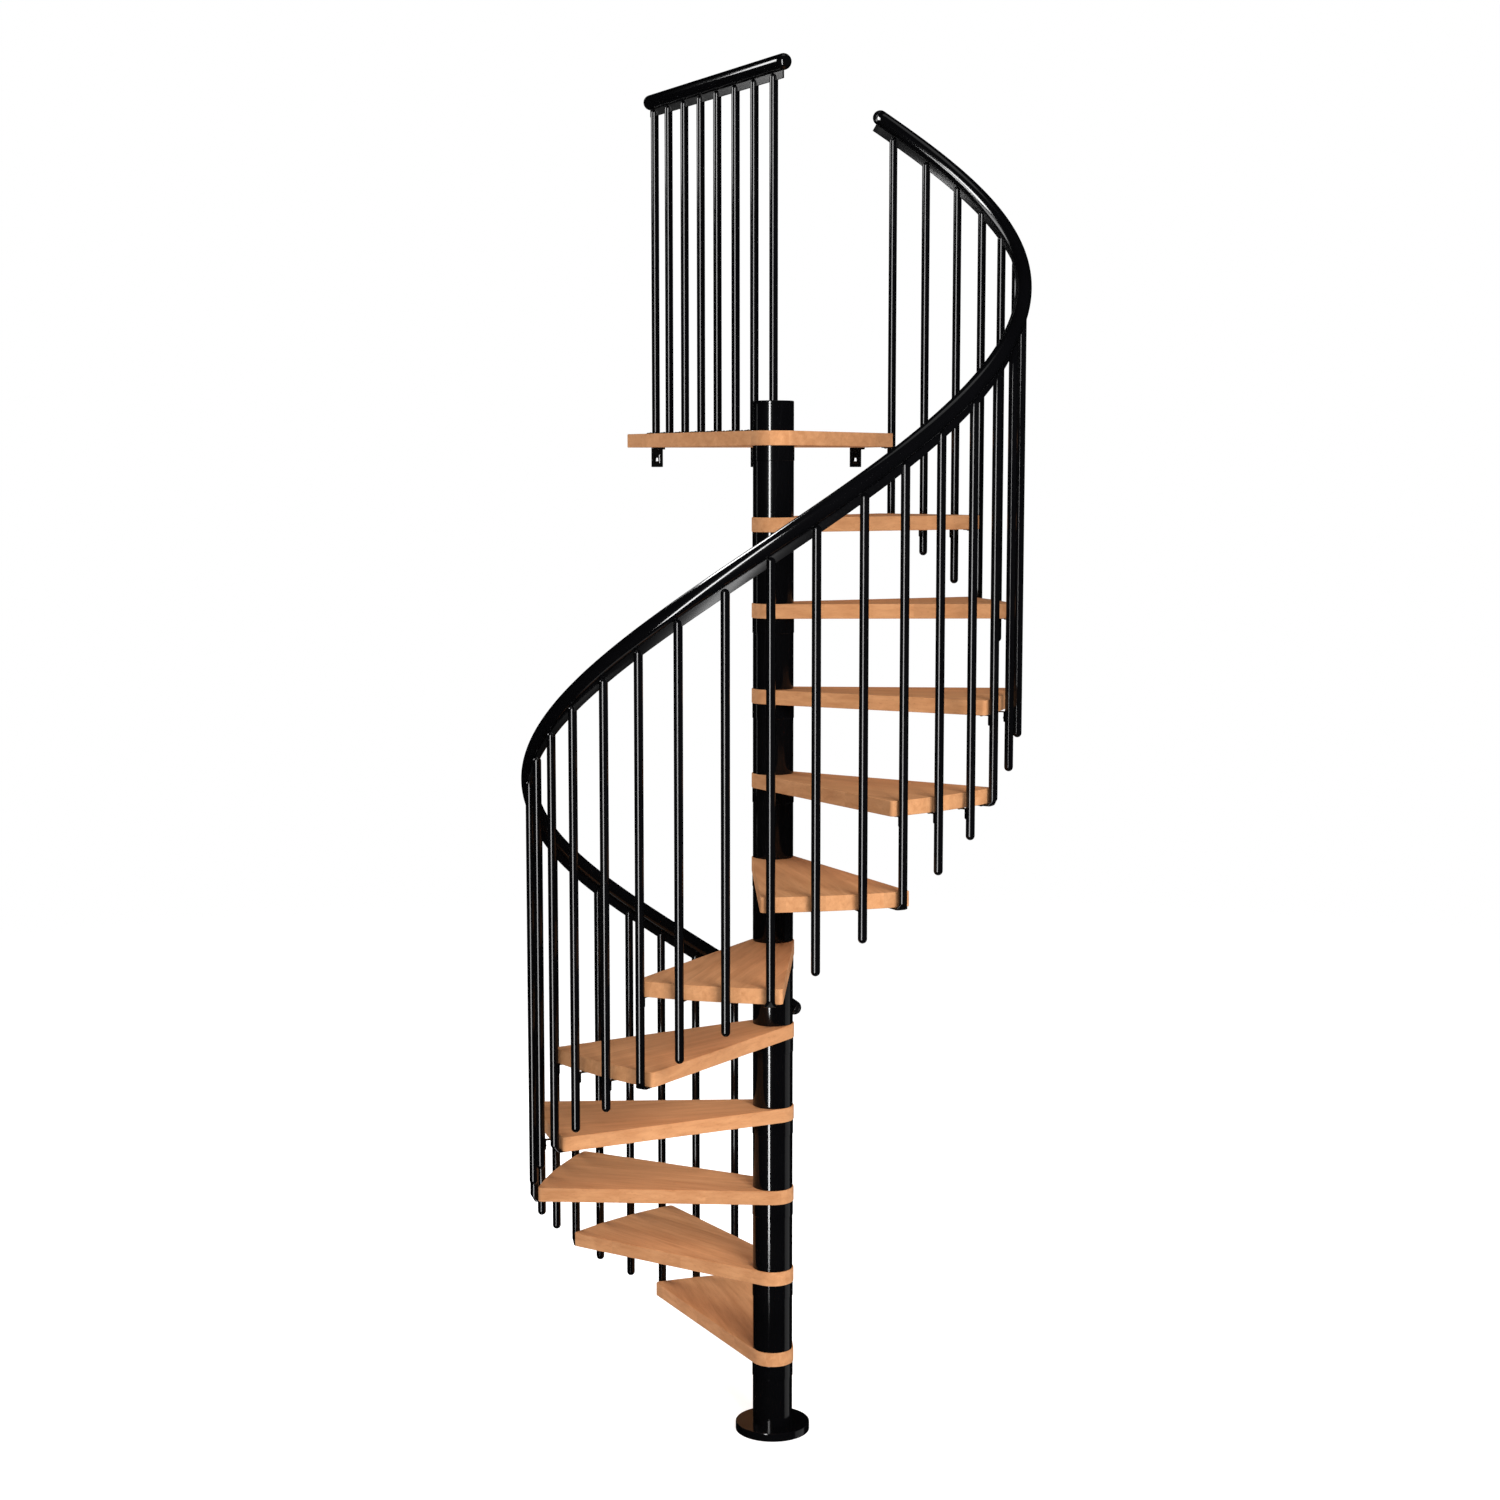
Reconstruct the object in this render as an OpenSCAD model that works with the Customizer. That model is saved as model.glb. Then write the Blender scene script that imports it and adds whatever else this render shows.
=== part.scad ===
// Spiral stair with a landing: wooden treads threaded on a steel column,
// round balusters, a helical handrail and a short straight rail on the landing.
// Millimetres, +Z up. The origin is the centre of the base flange's underside.
// The landing's back edge runs along X and the landing lies towards +Y.

/* [Flight] */
// height of the first tread's top above the floor
first_rise = 214.7; // [180:0.1:240]
// height from one tread to the next
riser = 209.3; // [170:0.1:240]
// turn from one tread to the next, in degrees
tread_angle = 29.85; // [22:0.05:36]
// direction of the first baluster, in degrees from +X
start_angle = 89.86; // [0:0.01:180]
// turn from a corner baluster to the next one, in degrees
first_middle_angle = 9.67; // [6:0.01:12]
// turn from a corner baluster to the second one, in degrees
second_middle_angle = 20.15; // [14:0.01:24]
// radius of the circle that the balusters stand on
rail_circle_radius = 600; // [450:1:900]

/* [Column] */
// outside of the column's spacer tubes
column_diameter = 100; // [80:1:150]
// wall of the spacer tubes
column_wall = 4; // [3:0.5:8]
// outside of the collar under each tread
collar_diameter = 102.5; // [82:0.5:156]
// height of the collar under each tread
collar_height = 36.8; // [10:0.1:60]
// pole inside the column that everything is threaded on
pole_diameter = 48; // [30:0.5:60]
// room between the pole and the holes it passes through
pole_clearance = 0.5; // [0.2:0.1:1]
// height of the column's top above the landing
column_above_landing = 72; // [40:1:120]
// thickness of the disc that closes the column
cap_thickness = 8; // [4:1:15]
// rounding of the disc's edge
cap_rounding = 3; // [1:0.5:6]
// outside of the base flange
flange_diameter = 187; // [140:1:280]
// thickness of the base flange
flange_thickness = 21; // [10:1:30]
// rounding of the base flange's upper edge
flange_rounding = 2; // [0.5:0.5:5]

/* [Treads] */
// thickness of a tread and of the landing
tread_thickness = 35.8; // [28:0.1:50]
// distance from the balusters' circle in to a tread's outer corners
tread_inset = 10; // [10:0.5:40]
// how far the outer edge bows out between its corners
tread_bow = 14; // [4:1:20]
// radius of a tread's narrow end round the column
nose_radius = 53; // [45:0.5:80]
// how far a tread reaches past its front baluster, in degrees
front_overhang_angle = 2.3; // [1:0.1:4]
// how far a tread reaches past its rear baluster, in degrees
rear_overhang_angle = 2.7; // [1:0.1:4]
// rounding of the outer corners in plan
corner_rounding = 9; // [4:0.5:25]

/* [Balusters] */
// outside of a baluster tube
baluster_diameter = 21; // [16:0.5:30]
// height of the handrail's axis above the floor at the first baluster
rail_height = 999.5; // [850:0.5:1100]
// height that the handrail gains on the treads by its last baluster
rail_lift = 5; // [0:0.5:20]
// drop from the handrail's axis to the rounded top of a baluster
top_drop = 25.6; // [18:0.1:40]
// drop from the line of the risers to the rounded foot of a baluster that hangs past its tread
hang_drop = 33.6; // [10:0.1:60]
// width of the pressed foot of a corner baluster
foot_width = 31; // [24:0.5:42]
// thickness of the pressed foot
foot_thickness = 5; // [3:0.5:8]
// length of the pressed foot under the tread
foot_length = 42; // [25:1:60]
// height above the tread's underside where the tube starts to flatten
foot_rise = 12; // [8:1:30]
// outside of the round plate under a baluster that stands on a floor
rosette_diameter = 50; // [32:1:70]
// thickness of that plate
rosette_thickness = 3; // [2:0.5:6]

/* [Brackets] */
// width of a baluster bracket
bracket_width = 12; // [9:0.5:40]
// thickness of a baluster bracket
bracket_thickness = 2; // [1.5:0.5:6]
// height of a baluster bracket's hanging leg
bracket_drop = 25; // [20:1:50]
// length of the leg under the tread
bracket_leg = 34; // [25:1:60]
// slanted cut at the hanging leg's lower corners
bracket_chamfer = 3; // [1:0.5:4]

/* [Handrail] */
// outside of the handrail tube
handrail_diameter = 39; // [32:0.5:50]
// visible height of the flat strip under the handrail
strip_height = 19; // [12:0.5:35]
// thickness of the flat strip
strip_thickness = 4; // [3:0.5:8]
// room between the strip and the slot in a baluster
slot_clearance = 0.3; // [0.2:0.05:1]
// how far the handrail runs past the first baluster, in degrees
rail_start_angle = 6; // [2:0.1:10]
// how far the handrail runs past the last baluster, in degrees
rail_end_angle = 3.7; // [2:0.1:10]

/* [Landing] */
// distance from the column's axis to the landing's back edge
landing_depth = 650; // [500:1:900]
// distance to the side of the landing's right back corner
landing_right = 258; // [200:1:400]
// distance from the balusters' circle in to the landing's front corner
landing_inset = 34; // [20:0.5:60]
// how far the landing reaches past the last baluster, in degrees
landing_overhang_angle = 2.35; // [0.5:0.05:4]
// direction of the landing's rail, in degrees from +X
landing_rail_angle = 117.1; // [100:0.1:140]
// height of the landing rail's axis above the landing
landing_rail_height = 868; // [800:1:1100]
// distance between the landing's first four balusters
landing_pitch = 101.7; // [80:0.1:120]
// distance between the landing's next balusters
landing_far_pitch = 95.3; // [80:0.1:120]
// distance from the landing's last baluster to the one before
landing_last_pitch = 85; // [70:0.1:120]
// length of the landing rail past the baluster on the column
landing_rail_near_past = 49; // [15:1:70]
// length of the landing rail past its last baluster
landing_rail_far_past = 24; // [15:1:60]
// width of a wall bracket
wall_bracket_width = 31; // [20:1:50]
// thickness of a wall bracket
wall_bracket_thickness = 5; // [3:0.5:8]
// height of a wall bracket's hanging leg
wall_bracket_drop = 52; // [40:1:80]
// length of a wall bracket's leg under the landing
wall_bracket_leg = 80; // [40:1:120]
// how far to the side the leg under the landing lies
wall_leg_shift = 6; // [0:0.5:12]
// hole in a wall bracket
wall_hole_diameter = 10; // [6:0.5:14]
// drop from the landing's underside to that hole
wall_hole_drop = 32; // [20:1:60]
// distance between the wall brackets
wall_bracket_pitch = 267; // [150:1:320]
// distance to the side of the middle wall bracket
wall_bracket_shift = -40; // [-100:1:100]

/* [Hidden] */
$fn = 64;
treads = 11;
landing_balusters_count = 8;
wood = [0.72, 0.5, 0.33];
black = [0.06, 0.06, 0.06];
last_k = 3 * treads;
baluster_r = baluster_diameter / 2;
tread_reach = rail_circle_radius - tread_inset;
landing_reach = rail_circle_radius - landing_inset;
rail_r = handrail_diameter / 2;
landing_top = first_rise + riser * treads;
column_top = landing_top + column_above_landing;
landing_rail_z = landing_top + landing_rail_height;
pole_hole = pole_diameter + 2 * pole_clearance;
rail_sides = 16;
rail_segments = 90;
foot_sides = 16;
nose_steps = 24;
rail_climb = riser + rail_lift / treads;
slope = atan(rail_climb / (rail_circle_radius * tread_angle * PI / 180));
rail_flat_share = cos(180 / rail_sides);
rail_flat = rail_r * rail_flat_share;
bracket_r = rail_circle_radius - baluster_r;
// how the pressed foot goes from the tube's round section to a flat one, station by station
foot_turns = [90, 100, 118, 145, 180];
foot_in_shares = [0, 0.06, 0.36, 0.85, 1.5];
foot_up_shares = [1, 0.55, 0.12, 0, 0];
foot_down_shares = [0, 0, 0, 1.2, 1];
foot_wide_shares = [baluster_diameter / foot_width, 0.8, 0.92, 1, 1];
foot_deep_shares = [1, 0.72, 0.42, 0, 0];
foot_flat_shares = [0, 0, 0, 1.2, 1];

function tread_top(n) = first_rise + riser * (n - 1);
function turn(k) = start_angle + tread_angle * floor(k / 3)
    + [0, first_middle_angle, second_middle_angle][k % 3];
// height of the handrail's axis at a turn from the start, in degrees
function rail_z(t) = rail_height + rail_climb * t / tread_angle;
function baluster_top(k) = rail_z(k * tread_angle / 3) - top_drop;
function baluster_foot(k) = riser * k / 3 - hang_drop;
function polar(r, a) = [r * cos(a), r * sin(a)];

// rounded corner of a polygon as points: p between a and b
function unit(v) = v / norm(v);
function fillet(a, p, b, r, steps) =
    let (u = unit(a - p), w = unit(b - p),
         half = acos(u * w) / 2,
         c = p + unit(u + w) * r / sin(half),
         s = p + u * r / tan(half),
         e = p + w * r / tan(half),
         a0 = atan2(s[1] - c[1], s[0] - c[0]),
         a1 = atan2(e[1] - c[1], e[0] - c[0]),
         d = (a1 - a0 > 180) ? a1 - a0 - 360 : ((a1 - a0 < -180) ? a1 - a0 + 360 : a1 - a0))
    [for (i = [0 : steps]) c + polar(r, a0 + d * i / steps)];

// outer edge of a tread as an arc through both corners, bowed out
function bow(a, b, rise, steps) =
    let (m = (a + b) / 2, half = norm(b - a) / 2,
         r = (half * half + rise * rise) / (2 * rise),
         out = unit(m), c = m - out * (r - rise),
         a0 = atan2(a[1] - c[1], a[0] - c[0]),
         a1 = atan2(b[1] - c[1], b[0] - c[0]),
         d = (a1 - a0 < -180) ? a1 - a0 + 360 : ((a1 - a0 > 180) ? a1 - a0 - 360 : a1 - a0))
    [for (i = [0 : steps]) c + polar(r, a0 + d * i / steps)];

// an edge that touches the narrow end's circle: turn from its far end to where it touches
function lean_at(r) = acos(nose_radius / r);
function tangent_at(r, a, side) = polar(nose_radius, a + side * lean_at(r));
// narrow end round the column, from one touching edge to the other
function nose(a0, a1) =
    let (span = ((a1 - a0) % 360 + 360) % 360)
    [for (i = [0 : nose_steps]) polar(nose_radius, a0 + span * i / nose_steps)];

// outline of a tread that starts at turn a: front corner, bowed edge, rear corner
function tread_outline(a) =
    let (af = a - front_overhang_angle, ar = a + tread_angle + rear_overhang_angle,
         f = polar(tread_reach, af), r = polar(tread_reach, ar),
         tf = tangent_at(tread_reach, af, -1), tr = tangent_at(tread_reach, ar, 1),
         edge = bow(f, r, tread_bow, 12), n = len(edge))
    concat(fillet(tf, f, edge[1], corner_rounding, 6),
           [for (i = [1 : n - 2]) edge[i]],
           fillet(edge[n - 2], r, tr, corner_rounding, 6),
           nose(ar + lean_at(tread_reach), af - lean_at(tread_reach)));

function landing_outline() =
    let (af = turn(last_k) - landing_overhang_angle,
         f = polar(landing_reach, af), tf = tangent_at(landing_reach, af, -1),
         br = [landing_right, landing_depth],
         tl = polar(nose_radius, landing_rail_angle + 90),
         bl = tl + polar((landing_depth - tl[1]) / sin(landing_rail_angle), landing_rail_angle))
    concat(fillet(tf, f, br, corner_rounding, 6), fillet(f, br, bl, corner_rounding, 6),
           fillet(br, bl, tl, corner_rounding, 6),
           nose(landing_rail_angle + 90, af - lean_at(landing_reach)));

// skin over a list of rings of points, closed at both ends
module loft(rings) {
    n = len(rings);
    m = len(rings[0]);
    points = [for (r = rings) for (p = r) p];
    sides = [for (i = [0 : n - 2]) for (j = [0 : m - 1]) each
        [[i * m + j, (i + 1) * m + j, (i + 1) * m + (j + 1) % m],
         [i * m + j, (i + 1) * m + (j + 1) % m, i * m + (j + 1) % m]]];
    ends = [[for (j = [0 : m - 1]) j], [for (j = [m - 1 : -1 : 0]) (n - 1) * m + j]];
    polyhedron(points, concat(sides, ends), convexity = 10);
}

// point of the helix's own section: out along the radius, up across the slope
function helix_point(t, out, up) =
    let (a = start_angle + t, r = rail_circle_radius + out,
         back = -up * sin(slope), z = rail_z(t) + up * cos(slope))
    [r * cos(a) - back * sin(a), r * sin(a) + back * cos(a), z];

rail_from = -rail_start_angle;
rail_to = tread_angle * treads + rail_end_angle;

module base_flange() {
    color(black)
    rotate_extrude()
    polygon([[0, 0], [flange_diameter / 2, 0],
             [flange_diameter / 2, flange_thickness - flange_rounding],
             [flange_diameter / 2 - flange_rounding, flange_thickness], [0, flange_thickness]]);
}

module centre_pole() {
    color(black)
    translate([0, 0, flange_thickness])
    cylinder(d = pole_diameter, h = column_top - cap_thickness - flange_thickness);
}

module spacer(z0, z1) {
    translate([0, 0, z0])
    difference() {
        cylinder(d = column_diameter, h = z1 - z0);
        translate([0, 0, -column_wall])
        cylinder(d = column_diameter - 2 * column_wall, h = z1 - z0 + 2 * column_wall);
    }
}

module column_tubes() {
    color(black) {
        for (i = [0 : treads])
            spacer(i == 0 ? flange_thickness : tread_top(i),
                   tread_top(i + 1) - tread_thickness - collar_height);
        spacer(landing_top, column_top - cap_thickness);
    }
}

module column_collars() {
    color(black)
    for (i = [1 : treads + 1])
        translate([0, 0, tread_top(i) - tread_thickness - collar_height])
        difference() {
            cylinder(d = collar_diameter, h = collar_height);
            translate([0, 0, -collar_height])
            cylinder(d = pole_hole, h = 3 * collar_height);
        }
}

module column_cap() {
    color(black)
    translate([0, 0, column_top - cap_thickness])
    rotate_extrude()
    polygon([[0, 0], [column_diameter / 2, 0], [column_diameter / 2, cap_thickness - cap_rounding],
             [column_diameter / 2 - cap_rounding, cap_thickness], [0, cap_thickness]]);
}

module plank(outline) {
    difference() {
        linear_extrude(tread_thickness)
        polygon(outline);
        translate([0, 0, -tread_thickness])
        cylinder(d = pole_hole, h = 3 * tread_thickness);
    }
}

module tread(n) {
    color(wood)
    translate([0, 0, tread_top(n) - tread_thickness])
    plank(tread_outline(turn(3 * (n - 1))));
}

module landing() {
    color(wood)
    translate([0, 0, landing_top - tread_thickness])
    plank(landing_outline());
}

// slot across the top of the baluster k for the strip, square to the slope
module strip_slot(k) {
    translate([0, 0, baluster_top(k) + top_drop])
    rotate([slope, 0, 0])
    translate([-strip_thickness / 2 - slot_clearance, -2 * baluster_diameter,
               -rail_flat - strip_height - slot_clearance])
    cube([strip_thickness + 2 * slot_clearance, 4 * baluster_diameter, strip_height + rail_flat]);
}

// rod from z0 to z1 with a round top, and a round foot if asked
module rod(z0, z1, round_foot) {
    end = round_foot ? baluster_r : 0;
    straight = z1 - z0 - baluster_r - end;
    translate([0, 0, z1 - baluster_r])
    rotate_extrude()
    intersection() {
        translate([0, -straight - end])
        square([baluster_r, straight + end + baluster_r]);
        union() {
            circle(r = baluster_r);
            translate([0, -straight])
            square([baluster_r, straight]);
            if (round_foot) {
                translate([0, -straight])
                circle(r = baluster_r);
            }
        }
    }
}

module at_baluster(k) {
    rotate([0, 0, turn(k)])
    translate([rail_circle_radius, 0, 0])
    children();
}

module middle_baluster(k) {
    at_baluster(k)
    difference() {
        rod(baluster_foot(k), baluster_top(k), true);
        strip_slot(k);
    }
}

// pressed foot: the tube's section goes flat as it bends in under the tread at height z;
// each station has its place, the turn of its section, its width and its depth
module pressed_foot(z) {
    lie = z - foot_thickness / 2;
    path = concat([for (i = [0 : len(foot_turns) - 1])
                   [-baluster_r * foot_in_shares[i],
                    z + foot_rise * foot_up_shares[i] + (lie - z) * foot_down_shares[i],
                    foot_turns[i], foot_width * foot_wide_shares[i],
                    baluster_diameter * foot_deep_shares[i] + foot_thickness * foot_flat_shares[i]]],
                  [[-foot_length, lie, 180, foot_width, foot_thickness]]);
    loft([for (s = path) [for (j = [0 : foot_sides - 1])
        let (t = 360 * j / foot_sides, w = s[3] / 2 * cos(t), d = s[4] / 2 * sin(t))
        [s[0] - d * sin(s[2]), w, s[1] - d * cos(s[2])]]]);
}

module corner_baluster(k) {
    at_baluster(k)
    difference() {
        rod(tread_top(k / 3) - tread_thickness + foot_rise, baluster_top(k), false);
        strip_slot(k);
    }
}

module first_baluster() {
    color(black)
    at_baluster(0) {
        difference() {
            rod(rosette_thickness, baluster_top(0), false);
            strip_slot(0);
        }
        cylinder(d = rosette_diameter, h = rosette_thickness);
    }
}

module corner_balusters() {
    color(black)
    for (n = [1 : treads]) corner_baluster(3 * n);
}

module baluster_feet() {
    color(black)
    for (n = [1 : treads])
        at_baluster(3 * n)
        pressed_foot(tread_top(n) - tread_thickness);
}

module middle_balusters() {
    color(black)
    for (n = [0 : treads - 1]) {
        middle_baluster(3 * n + 1);
        middle_baluster(3 * n + 2);
    }
}

// angle bracket under the tread or landing at height z, its hanging leg against the baluster k
module baluster_bracket(k, z) {
    rotate([0, 0, turn(k)])
    translate([bracket_r, 0, z]) {
        translate([-bracket_leg, -bracket_width / 2, -bracket_thickness])
        cube([bracket_leg, bracket_width, bracket_thickness]);
        rotate([90, 0, -90])
        linear_extrude(bracket_thickness)
        polygon([[-bracket_width / 2, 0], [-bracket_width / 2, bracket_chamfer - bracket_drop],
                 [bracket_chamfer - bracket_width / 2, -bracket_drop],
                 [bracket_width / 2 - bracket_chamfer, -bracket_drop],
                 [bracket_width / 2, bracket_chamfer - bracket_drop], [bracket_width / 2, 0]]);
    }
}

module baluster_brackets() {
    color(black) {
        for (k = [0 : last_k - 1])
            baluster_bracket(k, tread_top(floor(k / 3) + 1) - tread_thickness);
        baluster_bracket(last_k, landing_top - tread_thickness);
    }
}

module handrail() {
    color(black)
    loft([for (i = [0 : rail_segments]) let (t = rail_from + (rail_to - rail_from) * i / rail_segments)
        [for (j = [0 : rail_sides - 1]) let (g = 360 * (j + 0.5) / rail_sides)
            helix_point(t, rail_r * sin(g), -rail_r * cos(g))]]);
}

module rail_cap(t, lean) {
    translate(helix_point(t, 0, 0))
    rotate([0, 0, start_angle + t])
    rotate([lean, 0, 0])
    rotate_extrude()
    intersection() {
        circle(r = rail_r);
        square(handrail_diameter);
    }
}

module handrail_caps() {
    color(black) {
        rail_cap(rail_to, slope - 90);
        rail_cap(rail_from, slope + 90);
    }
}

module handrail_strip() {
    low = -rail_flat - strip_height;
    half = strip_thickness / 2;
    color(black)
    loft([for (i = [0 : rail_segments])
        let (t = rail_from + (rail_to - rail_from) * i / rail_segments)
        [helix_point(t, -half, low), helix_point(t, half, low),
         helix_point(t, half, -rail_flat), helix_point(t, -half, -rail_flat)]]);
}

module on_landing_rail() {
    rotate([0, 0, landing_rail_angle])
    children();
}

// place of a baluster along the landing's rail
function landing_at(i) = landing_pitch * min(i, 3) + landing_far_pitch * max(0, min(i, 6) - 3)
    + landing_last_pitch * max(0, i - 6);
landing_rail_length = landing_at(landing_balusters_count - 1)
    + landing_rail_near_past + landing_rail_far_past;

module landing_rail() {
    color(black)
    on_landing_rail()
    translate([-landing_rail_near_past, 0, landing_rail_z])
    difference() {
        union() {
            rotate([0, 90, 0])
            cylinder(r = rail_r, h = landing_rail_length);
            sphere(r = rail_r);
            translate([landing_rail_length, 0, 0])
            sphere(r = rail_r);
        }
        translate([-handrail_diameter, -strip_thickness / 2, -handrail_diameter])
        cube([landing_rail_length + 2 * handrail_diameter,
              strip_thickness, handrail_diameter - rail_flat]);
    }
}

module landing_strip() {
    color(black)
    on_landing_rail()
    translate([-landing_rail_near_past, -strip_thickness / 2, landing_rail_z - rail_flat - strip_height])
    cube([landing_rail_length, strip_thickness, strip_height]);
}

module landing_balusters() {
    color(black)
    on_landing_rail()
    for (i = [0 : landing_balusters_count - 1])
        translate([landing_at(i), 0, 0])
        difference() {
            rod(i == 0 ? column_top : landing_top + rosette_thickness,
                landing_rail_z - rail_r - slot_clearance, false);
            translate([-baluster_diameter, -strip_thickness / 2 - slot_clearance,
                       landing_rail_z - rail_flat - strip_height - slot_clearance])
            cube([2 * baluster_diameter, strip_thickness + 2 * slot_clearance, 2 * strip_height]);
        }
}

module landing_rosettes() {
    color(black)
    on_landing_rail()
    for (i = [1 : landing_balusters_count - 1])
        translate([landing_at(i), 0, landing_top])
        cylinder(d = rosette_diameter, h = rosette_thickness);
}

module wall_brackets() {
    color(black)
    for (i = [-1 : 1])
        translate([wall_bracket_shift + wall_bracket_pitch * i, landing_depth,
                   landing_top - tread_thickness]) {
            translate([wall_leg_shift - wall_bracket_width / 2, -wall_bracket_leg, -wall_bracket_thickness])
            cube([wall_bracket_width, wall_bracket_leg, wall_bracket_thickness]);
            difference() {
                translate([-wall_bracket_width / 2, -wall_bracket_thickness, -wall_bracket_drop])
                cube([wall_bracket_width, wall_bracket_thickness, wall_bracket_drop]);
                translate([0, -2 * wall_bracket_thickness, -wall_hole_drop])
                rotate([-90, 0, 0])
                cylinder(d = wall_hole_diameter, h = 3 * wall_bracket_thickness);
            }
        }
}

base_flange();
centre_pole();
column_tubes();
column_collars();
column_cap();
tread(1);  // tread_01
tread(2);  // tread_02
tread(3);  // tread_03
tread(4);  // tread_04
tread(5);  // tread_05
tread(6);  // tread_06
tread(7);  // tread_07
tread(8);  // tread_08
tread(9);  // tread_09
tread(10);  // tread_10
tread(11);  // tread_11
landing();
first_baluster();
corner_balusters();
baluster_feet();
middle_balusters();
baluster_brackets();
handrail();
handrail_caps();
handrail_strip();
landing_rail();
landing_strip();
landing_balusters();
landing_rosettes();
wall_brackets();
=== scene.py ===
import bmesh
import bpy
import numpy as np
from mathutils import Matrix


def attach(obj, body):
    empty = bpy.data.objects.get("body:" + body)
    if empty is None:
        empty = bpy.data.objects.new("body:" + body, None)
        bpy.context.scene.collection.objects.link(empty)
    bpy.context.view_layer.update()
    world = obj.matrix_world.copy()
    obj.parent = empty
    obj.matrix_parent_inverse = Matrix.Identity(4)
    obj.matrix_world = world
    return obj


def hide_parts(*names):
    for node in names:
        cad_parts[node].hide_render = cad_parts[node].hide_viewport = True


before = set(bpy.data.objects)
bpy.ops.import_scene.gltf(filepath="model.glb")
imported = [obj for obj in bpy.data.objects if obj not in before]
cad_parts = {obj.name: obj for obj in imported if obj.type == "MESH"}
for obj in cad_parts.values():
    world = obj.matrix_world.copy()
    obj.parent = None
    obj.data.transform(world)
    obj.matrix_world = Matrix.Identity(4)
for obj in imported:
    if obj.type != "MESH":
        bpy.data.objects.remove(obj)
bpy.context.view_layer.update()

# Base flange
# A turned steel disc that stands on the floor and carries the whole stair.
# It is powder-coated black and holds the foot of the pole. Lengths are in millimetres, angles in degrees.

mm_per_metre, merge_distance = 1000, 1e-6
flange_radius, flange_height, flange_eases = 93.5, 21.0, (0.8, 2.5)
on_axis, wide_sides = (0, 0), 96


def linear(code):
    """A colour written as sRGB hex, such as "cb9665", as linear red, green, blue and alpha: dark values are
    divided by 12.92, and the others become ((v + 0.055) / 1.055) to the power 2.4."""
    srgb = np.array([int(code[i:i + 2], 16) for i in (0, 2, 4)]) / 255
    low = srgb / 12.92
    high = ((srgb + 0.055) / 1.055) ** 2.4
    return (*np.where(srgb <= 0.04045, low, high).tolist(), 1.0)


def join(tree, kind, sockets, **settings):
    """Adds one node: settings are its properties, and a socket takes a value or a link, (node, output)."""
    made = tree.nodes.new("ShaderNode" + kind)
    for name, value in settings.items():
        setattr(made, name, value)
    for socket, value in sockets.items():
        if isinstance(value, tuple) and isinstance(value[0], bpy.types.Node):
            tree.links.new(value[0].outputs[value[1]], made.inputs[socket])
        else:
            made.inputs[socket].default_value = value
    return made


def finish_of(name):
    """A new material: returns it and its tree, which is empty."""
    material = bpy.data.materials.new(name)
    material.use_nodes = True
    material.node_tree.nodes.clear()
    return material, material.node_tree


# Gloss black powder coat, baked on steel: a deep black skin with a clean thin highlight, a little cloudy
# over 200 mm. Its orange peel is about 2 mm from crest to crest, and is drawn at 9 mm so that it shows.
peel_per_metre, cloud_per_metre = 110.0, 5.0
powder_coat, tree = finish_of("gloss_black_powder_coat")
place = join(tree, "TexCoord", {})
peel = join(tree, "TexNoise", {"Vector": (place, "Object"), "Scale": peel_per_metre, "Detail": 2.0})
cloud = join(tree, "TexNoise", {"Vector": (place, "Object"), "Scale": cloud_per_metre, "Detail": 3.0})
shade = join(tree, "MixRGB", {"Fac": (cloud, "Fac"), "Color1": linear("050506"),
                              "Color2": linear("0a0a0c")})
gloss = join(tree, "MapRange", {"Value": (cloud, "Fac"), "From Min": 0.3, "From Max": 0.7,
                                "To Min": 0.1, "To Max": 0.145})
skin_bump = join(tree, "Bump", {"Height": (peel, "Fac"), "Strength": 0.005, "Distance": 0.0004})
shader = join(tree, "BsdfPrincipled", {"Base Color": (shade, "Color"), "Roughness": (gloss, "Result"),
                                       "Specular IOR Level": 0.25, "Normal": (skin_bump, "Normal")})
join(tree, "OutputMaterial", {"Surface": (shader, "BSDF")})


def woven(rows, columns, rows_closed, columns_closed):
    """The four corners of each cell in a grid; a closed direction joins its last line to its first."""
    r = np.arange(rows if rows_closed else rows - 1)[:, None]
    c = np.arange(columns if columns_closed else columns - 1)[None, :]
    r2, c2 = (r + 1) % rows, (c + 1) % columns
    cells = [r * columns + c, r * columns + c2, r2 * columns + c2, r2 * columns + c]
    return np.stack(cells, -1).reshape(-1, 4)


def placed(name, data):
    """A new object in the scene that shows a mesh, a lamp or a camera."""
    made = bpy.data.objects.new(name, data)
    bpy.context.scene.collection.objects.link(made)
    return made


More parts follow.
